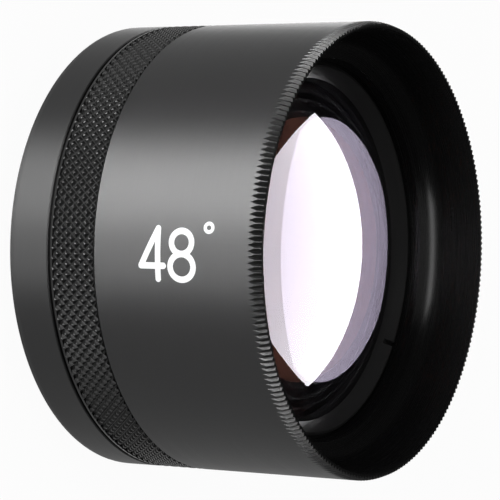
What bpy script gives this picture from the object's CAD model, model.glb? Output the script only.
import math
import bmesh
import bpy
from mathutils import Matrix, Vector


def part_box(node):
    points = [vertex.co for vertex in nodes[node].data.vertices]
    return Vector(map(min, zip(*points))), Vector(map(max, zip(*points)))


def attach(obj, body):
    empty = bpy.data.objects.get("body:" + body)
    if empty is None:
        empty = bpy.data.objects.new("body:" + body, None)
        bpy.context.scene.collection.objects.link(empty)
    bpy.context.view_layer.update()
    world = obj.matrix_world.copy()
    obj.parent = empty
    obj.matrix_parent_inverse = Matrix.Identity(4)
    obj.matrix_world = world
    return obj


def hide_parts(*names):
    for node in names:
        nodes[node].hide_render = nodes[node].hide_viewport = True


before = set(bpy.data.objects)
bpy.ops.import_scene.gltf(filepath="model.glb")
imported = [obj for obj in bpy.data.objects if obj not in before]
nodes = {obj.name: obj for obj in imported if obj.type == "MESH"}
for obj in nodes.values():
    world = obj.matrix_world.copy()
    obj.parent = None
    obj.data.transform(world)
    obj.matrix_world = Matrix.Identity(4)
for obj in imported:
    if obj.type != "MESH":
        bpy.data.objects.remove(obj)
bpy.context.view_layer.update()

# The scene is in metres. Lengths that a comment gives in mm are turned into metres with this.
MM = 0.001

# Radii in mm
GLASS_RADIUS = 20.6         # both front glasses
CUT_BELOW = 24.95           # under the skin of the barrel: notches, joint grooves
KNURL_BELOW = 24.85         # the flanks and grooves of the knurl
BORE_BELOW = 24.35          # the inside of the hood

# Colours of the second glass: its middle, what lies round that, and the ridges there
DEEP, BLACK, RIDGE = (0.046, 0.017, 0.012), (0.0015, 0.0015, 0.0018), (0.015, 0.015, 0.016)

LATHE_LINES = 9000.0        # noise cells for each metre across the lathe lines
LATHE_SMEAR = 1.2           # noise cells for each radian along them
GRAIN = 5200.0              # noise cells for each metre of the fine grain
GLOSS_STREAK = 0.18         # how far both of them move the roughness
MASK_WIDTH = 0.05           # mm over which one finish turns into the next


# Materials

class Shade:
    """A material or world under construction: adds nodes, links sockets, sets plain values."""

    def __init__(self, name, world=False):
        self.made = bpy.data.worlds.new(name) if world else bpy.data.materials.new(name)
        self.made.use_nodes = True
        self.tree = self.made.node_tree
        self.tree.nodes.clear()
        self.out = self.tree.nodes.new("ShaderNodeOutput" + ("World" if world else "Material"))

    def put(self, socket, value):
        """Link a node's output to a socket, or set a plain value on it."""
        if hasattr(value, "is_output"):
            self.tree.links.new(value, socket)
        else:
            socket.default_value = value

    def add(self, kind, values=None, **settings):
        node = self.tree.nodes.new("ShaderNode" + kind)
        for key, value in settings.items():
            setattr(node, key, value)
        for key, value in (values or {}).items():
            self.put(node.inputs[key], value)
        return node

    def math(self, operation, *values, clamp=False):
        node = self.add("Math", operation=operation, use_clamp=clamp)
        for socket, value in zip(node.inputs, values):
            self.put(socket, value)
        return node.outputs[0]

    def sum(self, first, second):
        return self.math("ADD", first, second)

    def product(self, first, second):
        return self.math("MULTIPLY", first, second)

    def ramp(self, factor, stops):
        node = self.add("ValToRGB", {"Fac": factor})
        elements = node.color_ramp.elements
        for index, (place, colour) in enumerate(stops):
            item = elements[index] if index < 2 else elements.new(place)
            item.position = place
            item.color = (*colour, 1)
        return node.outputs[0]

    def noise(self, values):
        return self.add("TexNoise", values).outputs["Fac"]

    def place(self):
        """The point in the object's own frame, and its parts."""
        here = self.add("TexCoord").outputs["Object"]
        split = self.add("SeparateXYZ", {"Vector": here})
        return (here, *split.outputs)

    def radius(self, x, y):
        return self.math("SQRT", self.sum(self.product(x, x), self.product(y, y)))

    def finish(self, shader):
        self.tree.links.new(shader.outputs[0], self.out.inputs["Surface"])
        return self.made


def grey(value):
    return (value, value, value, 1)


def scaled(colour, share):
    return [c * share for c in colour]


def metal(name, colour, rough, spread, specular=0.5, cut=None, bore=None):
    """Black anodised metal: lathe lines round the axis, a fine grain and a streaked gloss.
    What is cut in deeper than a radius, and then the bore, are finished on their own, each given
    as (radius in mm, share of the colour, roughness)."""
    streak, speckle, strength, depth = 0.3, 0.15, 0.35, 0.004
    s = Shade(name)
    place, x, y, z = s.place()
    radius = s.radius(x, y)
    across = s.product(s.sum(z, radius), LATHE_LINES)
    along = s.product(s.math("ARCTAN2", y, x), LATHE_SMEAR)
    lathe_at = s.add("CombineXYZ", {"X": across, "Y": along}).outputs[0]
    lathe = s.noise({"Vector": lathe_at, "Scale": 1.0, "Detail": 3.0})
    grain = s.noise({"Vector": place, "Scale": GRAIN, "Detail": 2.0})
    mixed = s.sum(s.product(lathe, 1 - speckle), s.product(grain, speckle))
    tint = s.ramp(mixed, [(0.3, scaled(colour, 1 - streak)), (0.7, scaled(colour, 1 + streak))])
    for edge, share, satin in [own for own in (cut, bore) if own]:
        inside = s.add("MapRange", {
            "Value": radius, "From Min": (edge - MASK_WIDTH) * MM, "From Max": edge * MM,
            "To Min": 1.0, "To Max": 0.0}).outputs[0]
        rough = s.sum(s.product(inside, s.math("SUBTRACT", satin, rough)), rough)
        tint = s.add("MixRGB", {"Fac": inside, "Color1": tint,
                                "Color2": (*scaled(colour, share), 1)}).outputs[0]
    gloss = s.sum(s.product(s.math("SUBTRACT", mixed, 0.5), GLOSS_STREAK), rough)
    bump = s.add("Bump", {"Height": mixed, "Strength": strength, "Distance": depth * MM})
    # The quarter turn lays the highlight along the axis, as fine lathe lines do.
    tangent = s.add("Tangent", direction_type="RADIAL", axis="Z")
    return s.finish(s.add("BsdfPrincipled", {
        "Base Color": tint, "Roughness": gloss, "Normal": bump.outputs[0],
        "Tangent": tangent.outputs[0], "Anisotropic": spread, "Anisotropic Rotation": 0.25,
        "Specular IOR Level": specular}))


def glass(name, index, specular, tint):
    """Coated optical glass. The tint is the colour of its reflections."""
    s = Shade(name)
    fleck = s.noise({"Scale": 900.0, "Detail": 2.0})
    shade = s.ramp(fleck, [(0.0, (1, 1, 1)), (1.0, (0.985, 0.985, 0.985))])
    return s.finish(s.add("BsdfPrincipled", {
        "Base Color": shade, "Roughness": 0.0, "IOR": index, "Transmission Weight": 1.0,
        "Specular IOR Level": specular, "Specular Tint": (*tint, 1)}))


def dark_glass(name):
    """The second glass, drawn opaque: a dark polished body with its own gloss, a warm glow in the
    middle and the ridges of the light trap painted round that."""
    s = Shade(name)
    x, y = s.place()[1:3]
    share = s.math("DIVIDE", s.radius(x, y), GLASS_RADIUS * MM)
    # Places are shares of the glass's radius.
    stops = [(0.0, DEEP), (0.655, DEEP), (0.672, BLACK), (0.69, RIDGE), (0.70, BLACK)]
    for ridge in (0.75, 0.81, 0.875):
        stops += [(ridge - 0.015, BLACK), (ridge, RIDGE), (ridge + 0.015, BLACK)]
    haze = s.noise({"Scale": 160.0, "Detail": 2.0})
    tint = s.add("MixRGB", {"Fac": s.product(haze, 0.3), "Color1": s.ramp(share, stops),
                            "Color2": (*BLACK, 1)}).outputs[0]
    return s.finish(s.add("BsdfPrincipled", {
        "Base Color": tint, "Roughness": 0.0, "IOR": 1.62, "Specular IOR Level": 0.36,
        "Specular Tint": (0.84, 0.74, 1.0, 1)}))


def fill(name, colour):
    """Matt paint with a slightly uneven surface."""
    s = Shade(name)
    mottle = s.noise({"Scale": 2500.0, "Detail": 3.0})
    tint = s.ramp(mottle, [(0.2, scaled(colour, 0.95)), (0.8, colour)])
    bump = s.add("Bump", {"Height": mottle, "Strength": 0.2, "Distance": 0.01 * MM})
    return s.finish(s.add("BsdfPrincipled", {"Base Color": tint, "Roughness": 0.5,
                                             "Normal": bump.outputs[0]}))


hood = metal("hood_black", (0.009, 0.009, 0.0093), 0.52, 0.9,
             cut=(CUT_BELOW, 0.2, 0.6), bore=(BORE_BELOW, 0.2, 0.27))
inner = metal("inner_black", (0.010, 0.010, 0.010), 0.38, 0.6)
baffle = metal("baffle_black", (0.006, 0.006, 0.006), 0.5, 0.3)
clear = glass("front_glass", 1.55, 1.0, (0.92, 0.86, 1.0))
flint = dark_glass("flint_glass")
coated = glass("middle_glass", 1.6, 0.5, (0.7, 0.5, 0.5))
grip = metal("grip_black", (0.006, 0.006, 0.006), 0.32, 0.2, specular=0.25,
             cut=(KNURL_BELOW, 0.3, 0.5))
stub = metal("stub_black", (0.02, 0.02, 0.02), 0.35, 0.5)
steel = metal("screw_steel", (0.25, 0.25, 0.26), 0.35, 0.3)
white_fill = fill("white_fill", (0.86, 0.86, 0.87))

FINISHES = [
    (hood, ("front_hood", "knurled_ring", "rear_barrel")),
    (inner, ("front_retaining_ring", "inner_barrel", "middle_cell", "rear_cell", "mount_flange",
             "mount_ring", "middle_retaining_ring", "rear_retaining_ring", "front_seat_ring")),
    (baffle, ("front_baffle", "aperture_stop")),
    (clear, ("front_element",)),
    (flint, ("second_element",)),
    (coated, ("middle_element", "rear_positive_element", "rear_negative_element")),
    (steel, ("flange_screw_1", "flange_screw_2", "flange_screw_3")),
]
for material, names in FINISHES:
    for name in names:
        slots = nodes[name].data.materials
        slots.clear()
        slots.append(material)


# Pieces with fine relief, each in place of the plain solid of the same size. Lengths are in mm.

def on_barrel(radius, around, height):
    """A point at a radius, an angle in radians from the near side towards +X, and a height."""
    return Vector((radius * math.sin(around), -radius * math.cos(around), height)) * MM


def link(name, bm, material, node=None):
    """Make an object of the mesh, ride it on the body and let it stand for its CAD node."""
    bmesh.ops.recalc_face_normals(bm, faces=bm.faces)
    mesh = bpy.data.meshes.new(name)
    bm.to_mesh(mesh)
    bm.free()
    obj = bpy.data.objects.new(name, mesh)
    bpy.context.collection.objects.link(obj)
    mesh.materials.append(material)
    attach(obj, "root")
    if node:
        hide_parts(node)
    return obj


def loop_after(bm, loop, radius=None, height=None):
    """Add the next loop of a turned end, with quads: the same angles at another radius or
    height."""
    made = []
    for vert in loop:
        x, y, z = vert.co
        scale = 1 if radius is None else radius * MM / math.hypot(x, y)
        made.append(bm.verts.new((x * scale, y * scale, z if height is None else height * MM)))
    for i in range(len(loop)):
        j = (i + 1) % len(loop)
        bm.faces.new((loop[i], loop[j], made[j], made[i]))
    return made


def edge_loop(bm, height):
    """The open boundary at a height, in order round the axis."""
    found = [v for v in bm.verts if v.is_boundary and abs(v.co.z - height * MM) < 1e-7]
    return sorted(found, key=lambda v: math.atan2(v.co.y, v.co.x))


def knurled_grip():
    """Cut diamond knurl: rows of raised diamonds between two sets of crossing grooves."""
    low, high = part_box("knurled_ring")
    rear, front = low.z / MM, high.z / MM
    outer = high.x / MM
    bore = outer - 2.45
    around, pitch = 142, 1.18
    start, end = rear + 0.36, front - 0.07      # the knurled band
    # Each diamond from its top to the groove: reach in pitches, drop below the skin.
    levels = [(0.07, 0.0), (0.17, 0.035), (0.40, 0.285), (0.455, 0.33), (0.5, 0.33)]
    bm = bmesh.new()
    known = {}

    def vert(u, w, drop):
        key = (round(u * 1000) % (around * 1000), round(w * 1000))
        if key not in known:
            place = on_barrel(outer - drop, u / around * math.tau, start + (w - 0.5) * pitch)
            known[key] = bm.verts.new(place)
        return known[key]

    rows = int(math.ceil((end - start) / pitch * 2)) + 3
    for row in range(rows):
        for column in range(around):
            u, w = column + 0.5 * (row % 2), row * 0.5
            rings = []
            for reach, drop in levels:
                corners = ((reach, 0), (0, reach), (-reach, 0), (0, -reach))
                rings.append([vert(u + a, w + b, drop) for a, b in corners])
            bm.faces.new(rings[0])
            for inner_ring, outer_ring in zip(rings, rings[1:]):
                for i in range(4):
                    j = (i + 1) % 4
                    bm.faces.new((inner_ring[i], inner_ring[j], outer_ring[j], outer_ring[i]))
    for height, side in ((start, -1), (end, 1)):
        everything = list(bm.verts) + list(bm.edges) + list(bm.faces)
        bmesh.ops.bisect_plane(bm, geom=everything, dist=1e-8, plane_co=(0, 0, height * MM),
                               plane_no=(0, 0, side), clear_outer=True)
    # The plain ends: a band, a small bevel and the end face, as far as the bore.
    near = edge_loop(bm, start)
    near = loop_after(bm, near, radius=outer - 0.06)
    near = loop_after(bm, near, height=rear + 0.12)
    near = loop_after(bm, near, radius=outer - 0.16, height=rear)
    loop_after(bm, near, radius=bore)
    far = edge_loop(bm, end)
    far = loop_after(bm, far, radius=outer - 0.3)
    far = loop_after(bm, far, radius=outer - 0.36, height=front)
    loop_after(bm, far, radius=bore)
    bmesh.ops.bridge_loops(bm, edges=[e for e in bm.edges if e.is_boundary])
    link("knurl", bm, grip, "knurled_ring")


def threaded_stub():
    """The stub with its male thread, a real helix that runs out at both ends."""
    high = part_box("mount_ring")[1]
    outer = high.x / MM
    crest, bore, face, front = 8.5, 7.2, 3.0, high.z / MM
    around, steps = 160, 56
    pitch, depth, run_out, fade_over = 0.75, 0.42, 2.6, 0.12
    chamfer, neck = 0.12, 0.5
    land, flanks = 0.12, 0.72       # shares of half a pitch
    bm = bmesh.new()
    columns = []
    for i in range(around):
        share = i / around
        column = [(bore, chamfer), (bore + chamfer, 0.0), (crest - neck, 0.0)]
        for step in range(1, steps):
            z = run_out * step / steps
            wave = abs(((z / pitch - share) % 1.0) * 2 - 1)
            cut = min(1.0, max(0.0, (wave - land) / flanks))
            fade = min(1.0, (run_out - z) / fade_over)
            radius = crest - depth * (1 - cut) * fade
            column.append((min(radius, crest - neck + z), z))
        column += [(crest, run_out), (crest - neck, run_out), (crest - neck, face), (outer, face),
                   (outer, front), (bore, front)]
        columns.append([bm.verts.new(on_barrel(r, share * math.tau, z)) for r, z in column])
    count = len(columns[0])
    for i in range(around):
        ahead = columns[(i + 1) % around]
        for k in range(count):
            n = (k + 1) % count
            bm.faces.new((columns[i][k], ahead[k], ahead[n], columns[i][n]))
    link("stub_thread", bm, stub, "mount_ring")


def cap(curve, radius, vertex, side, rings=28):
    """A spherical surface from the axis to its rim: radii and heights. side +1 rises outward."""
    made = []
    for i in range(rings + 1):
        r = radius * i / rings
        made.append((r, vertex + side * (curve - math.sqrt(curve * curve - r * r))))
    return made


def lens(name, rear, front, material, node, around=144):
    """A glass turned from its rear surface, axis to rim, and its front surface, rim to axis."""
    profile = rear + front[::-1]
    bm = bmesh.new()
    poles = [bm.verts.new((0, 0, profile[0][1] * MM)), bm.verts.new((0, 0, profile[-1][1] * MM))]
    loops = []
    for r, z in profile[1:-1]:
        loops.append([bm.verts.new(on_barrel(r, k / around * math.tau, z)) for k in range(around)])
    for k in range(around):
        n = (k + 1) % around
        bm.faces.new((poles[0], loops[0][k], loops[0][n]))
        bm.faces.new((poles[1], loops[-1][n], loops[-1][k]))
        for a, b in zip(loops, loops[1:]):
            bm.faces.new((a[k], b[k], b[n], a[n]))
    obj = link(name, bm, material, node)
    obj.data.shade_smooth()
    obj.data.set_sharp_from_angle(angle=math.radians(25))


def front_glasses():
    """The two cemented glasses. The second reaches a hair into the first, as the cement does."""
    front_curve, cement_curve, rear_curve = 48, 1200, 200
    seat_width, overlap = 1.2, 0.01
    low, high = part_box("front_element")
    radius, cement, vertex = high.x / MM, low.z / MM, high.z / MM
    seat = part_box("second_element")[0].z / MM
    opening = radius - seat_width
    hollow = seat + rear_curve - math.sqrt(rear_curve ** 2 - opening ** 2)
    lens("crown", cap(cement_curve, radius, cement, 1), cap(front_curve, radius, vertex, -1),
         clear, "front_element")
    lens("flint", cap(rear_curve, opening, hollow, -1) + [(radius, seat)],
         cap(cement_curve, radius, cement + overlap, 1), flint, "second_element")


# Plain numerals of the angle of view, filled flush with white. Places are (arc, height) in mm.

def prism(outline, hole=None):
    """A flat slab with this outline, and one hole if given, between two depths."""
    bm = bmesh.new()
    walls = [outline] + ([hole] if hole else [])
    ends = []
    for depth in (0.0, 1.0):
        loops = [[bm.verts.new((a, b, depth)) for a, b in ring] for ring in walls]
        edges = []
        for ring in loops:
            edges += [bm.edges.new((ring[i], ring[(i + 1) % len(ring)])) for i in range(len(ring))]
        if hole:
            bmesh.ops.bridge_loops(bm, edges=edges)
        else:
            bm.faces.new(loops[0])
        ends.append(loops)
    for ring_a, ring_b in zip(*ends):
        for i in range(len(ring_a)):
            j = (i + 1) % len(ring_a)
            bm.faces.new((ring_a[i], ring_a[j], ring_b[j], ring_b[i]))
    bmesh.ops.recalc_face_normals(bm, faces=bm.faces)
    mesh = bpy.data.meshes.new("slab")
    bm.to_mesh(mesh)
    bm.free()
    obj = bpy.data.objects.new("slab", mesh)
    bpy.context.collection.objects.link(obj)
    return obj


def bar(start, end, width, points=14):
    """A stroke with round ends."""
    a, b = Vector(start), Vector(end)
    lead = math.atan2(b.y - a.y, b.x - a.x)
    outline = []
    for centre, turn in ((b, lead - math.pi / 2), (a, lead + math.pi / 2)):
        for i in range(points + 1):
            angle = turn + math.pi * i / points
            outline.append((centre.x + width / 2 * math.cos(angle),
                            centre.y + width / 2 * math.sin(angle)))
    return prism(outline)


def oval(centre, across, tall, width, points=64):
    """A closed oval stroke."""
    rings = []
    for grow in (width / 2, -width / 2):
        rings.append([(centre[0] + (across + grow) * math.cos(math.tau * i / points),
                       centre[1] + (tall + grow) * math.sin(math.tau * i / points))
                      for i in range(points)])
    return prism(rings[0], rings[1])


def joined(slabs):
    """One slab from several that cross."""
    base = slabs[0]
    for other in slabs[1:]:
        union = base.modifiers.new("union", "BOOLEAN")
        union.operation = "UNION"
        union.solver = "EXACT"
        union.object = other
    view = bpy.context.evaluated_depsgraph_get()
    mesh = bpy.data.meshes.new_from_object(base.evaluated_get(view))
    for slab in slabs:
        bpy.data.objects.remove(slab)
    return mesh


def numeral(name, mesh):
    """Lay a flat numeral on the barrel: its face a hair proud, its foot just below the skin. Long
    edges are cut first, so it follows the curve."""
    longest, proud, deep = 0.3, 0.003, 0.08
    bm = bmesh.new()
    bm.from_mesh(mesh)
    bmesh.ops.triangulate(bm, faces=bm.faces)
    for _ in range(4):
        long = [e for e in bm.edges if abs(e.verts[0].co.x - e.verts[1].co.x) > longest]
        if not long:
            break
        bmesh.ops.subdivide_edges(bm, edges=long, cuts=1)
        bmesh.ops.triangulate(bm, faces=bm.faces)
    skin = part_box("front_hood")[1].x / MM + proud
    for vert in bm.verts:
        arc, height, depth = vert.co
        vert.co = on_barrel(skin - deep * (1 - depth), arc / skin, height)
    obj = link(name, bm, white_fill)


def numerals():
    stroke, thin_stroke = 0.67, 0.38
    foot, corner, head = (3.43, 22.64), (2.06, 20.56), (-1.81, 22.62)
    four = [bar(head, foot, stroke), bar(head, corner, stroke), bar(corner, (2.06, 23.31), stroke)]
    numeral("numeral_four", joined(four))
    eight = [oval((-0.40, 25.55), 1.19, 1.23, stroke), oval((2.12, 25.57), 1.33, 1.41, stroke)]
    numeral("numeral_eight", joined(eight))
    numeral("degree_mark", joined([oval((-1.96, 28.82), 0.44, 0.46, thin_stroke)]))


knurled_grip()
threaded_stub()
front_glasses()
numerals()


# Floor, backdrop and light. Lengths are in metres.

def seen_rays(s):
    """Camera rays, and rays that a surface mirrors or glass lets through, each 1 or 0."""
    path = s.add("LightPath")
    mirrored = s.math("ADD", path.outputs["Is Glossy Ray"], path.outputs["Is Transmission Ray"],
                      clamp=True)
    return path.outputs["Is Camera Ray"], mirrored


def floor():
    """White to the eye, in gloss and through glass, with a share left for the shadow."""
    half, below, white_share = 3.0, 0.00002, 0.95
    mesh = bpy.data.meshes.new("floor")
    mesh.from_pydata([(-half, -half, 0), (half, -half, 0), (half, half, 0), (-half, half, 0)],
                     [], [(0, 1, 2, 3)])
    obj = bpy.data.objects.new("floor", mesh)
    bpy.context.collection.objects.link(obj)
    obj.location.z = -below
    s = Shade("floor_white")
    camera, mirrored = seen_rays(s)
    body = s.add("BsdfDiffuse", {"Color": grey(0.85)})
    white = s.add("Emission", {"Color": grey(1.0), "Strength": 1.0})
    share = s.product(s.math("ADD", camera, mirrored, clamp=True), white_share)
    mixed = s.add("MixShader", {0: share, 1: body.outputs[0], 2: white.outputs[0]})
    mesh.materials.append(s.finish(mixed))


def studio():
    """White to the eye, and in gloss and glass as far as the horizon. What is mirrored from
    above is nearly dark but for the soft boxes."""
    above_horizon, mirrored_above, ambient = 0.12, 0.03, 0.5
    s = Shade("studio", world=True)
    way = s.add("TexCoord").outputs["Generated"]
    rise = s.add("SeparateXYZ", {"Vector": way}).outputs[2]
    above = s.add("MapRange", {"Value": rise, "From Min": 0.0, "From Max": above_horizon,
                               "To Min": 1.0, "To Max": mirrored_above}).outputs[0]
    camera, mirrored = seen_rays(s)
    plain = s.math("SUBTRACT", s.math("SUBTRACT", 1.0, camera), mirrored, clamp=True)
    level = s.sum(s.product(mirrored, above), s.sum(camera, s.product(plain, ambient)))
    bpy.context.scene.world = s.finish(s.add("Background", {"Color": grey(1), "Strength": level}))


def lamp(name, place, target, radiance, size, shape="RECTANGLE", sheen=True, only=None):
    """A soft box: an area lamp that faces its target, with a size (across, up). One for sheen
    shows in gloss alone. The other kind lights only the matt part of a surface and shows in no
    gloss. One with a list of pieces is flagged off from everything else."""
    data = bpy.data.lights.new(name, "AREA")
    data.shape = shape
    data.size, data.size_y = size
    area = size[0] * size[1] * (math.pi / 4 if shape == "ELLIPSE" else 1)
    data.energy = radiance * math.pi * area
    obj = bpy.data.objects.new(name, data)
    bpy.context.collection.objects.link(obj)
    obj.visible_diffuse = not sheen
    obj.visible_glossy = sheen
    obj.location = place
    obj.rotation_mode = "QUATERNION"
    obj.rotation_quaternion = (Vector(target) - Vector(place)).to_track_quat("-Z", "Y")
    if only:
        lit = bpy.data.collections.new(name + "_on")
        for piece in only:
            lit.objects.link(bpy.data.objects[piece])
        obj.light_linking.receiver_collection = lit


def around_object(turn, rise, distance, height=0.0175):
    """A place at a turn from the near side towards -X, a rise and a distance, in degrees and m."""
    t, e = math.radians(turn), math.radians(rise)
    way = Vector((-math.sin(t) * math.cos(e), -math.cos(t) * math.cos(e), math.sin(e)))
    return way * distance + Vector((0, 0, height))


def lights():
    middle = Vector((0, 0, 0.0175))
    lamp("key", around_object(25, 14, 0.45), middle, 9, (0.28, 0.22), sheen=False)
    # Low strips beside the barrel. They stay under the rim, so the hood's inside is dark.
    lamp("strip", around_object(26, 0, 0.25), middle, 45, (0.14, 0.034))
    lamp("wide_strip", around_object(16, 0, 0.26), middle, 37, (0.36, 0.034))
    lamp("edge", around_object(142, 0, 0.3), middle, 45, (0.14, 0.034))
    # The foot of the flare mirrors this one.
    lamp("cove", around_object(0, 70, 0.4, 0.03), Vector((0, 0, 0.03)), 3.5, (0.3, 0.2),
         only=["front_hood"])
    # The front glasses mirror these, one behind the object and above it, one over it.
    glass_middle, distance, aside = Vector((0, 0, 0.028)), 0.35, 0.0307
    rise, steep = math.radians(36), math.radians(97)
    out = Vector((0, math.cos(rise), math.sin(rise)))
    across = Vector((0, math.sin(rise), -math.cos(rise)))
    behind = glass_middle + out * distance + across * aside
    lamp("overhead", behind, behind - out, 10.0, (0.308, 0.61), "ELLIPSE",
         only=["crown", "flint"])
    over = glass_middle + Vector((0, math.cos(steep), math.sin(steep))) * distance
    lamp("overhead_top", over, glass_middle, 11, (0.22, 0.34), "ELLIPSE", only=["crown"])


def camera():
    """The photograph's place and long lens, as fitted to the barrel. Its place is in mm."""
    data = bpy.data.cameras.new("camera")
    data.sensor_fit = "HORIZONTAL"
    data.sensor_width = 36.0
    data.lens = 191.64
    data.clip_start = 0.01
    data.clip_end = 20.0
    obj = bpy.data.objects.new("camera", data)
    bpy.context.collection.objects.link(obj)
    right = Vector((-0.02445058, 0.52502586, 0.85073498))
    up = Vector((-0.99970104, -0.01284103, -0.02080719))
    back = Vector((0.0, -0.8509894, 0.52518287))
    turn = Matrix((right, up, back)).transposed()
    place = Vector((0.2075, -254.016, 175.181)) * MM
    obj.matrix_world = Matrix.Translation(place) @ turn.to_4x4()
    bpy.context.scene.camera = obj


floor()
studio()
lights()
camera()
bpy.context.scene.view_settings.view_transform = "Standard"
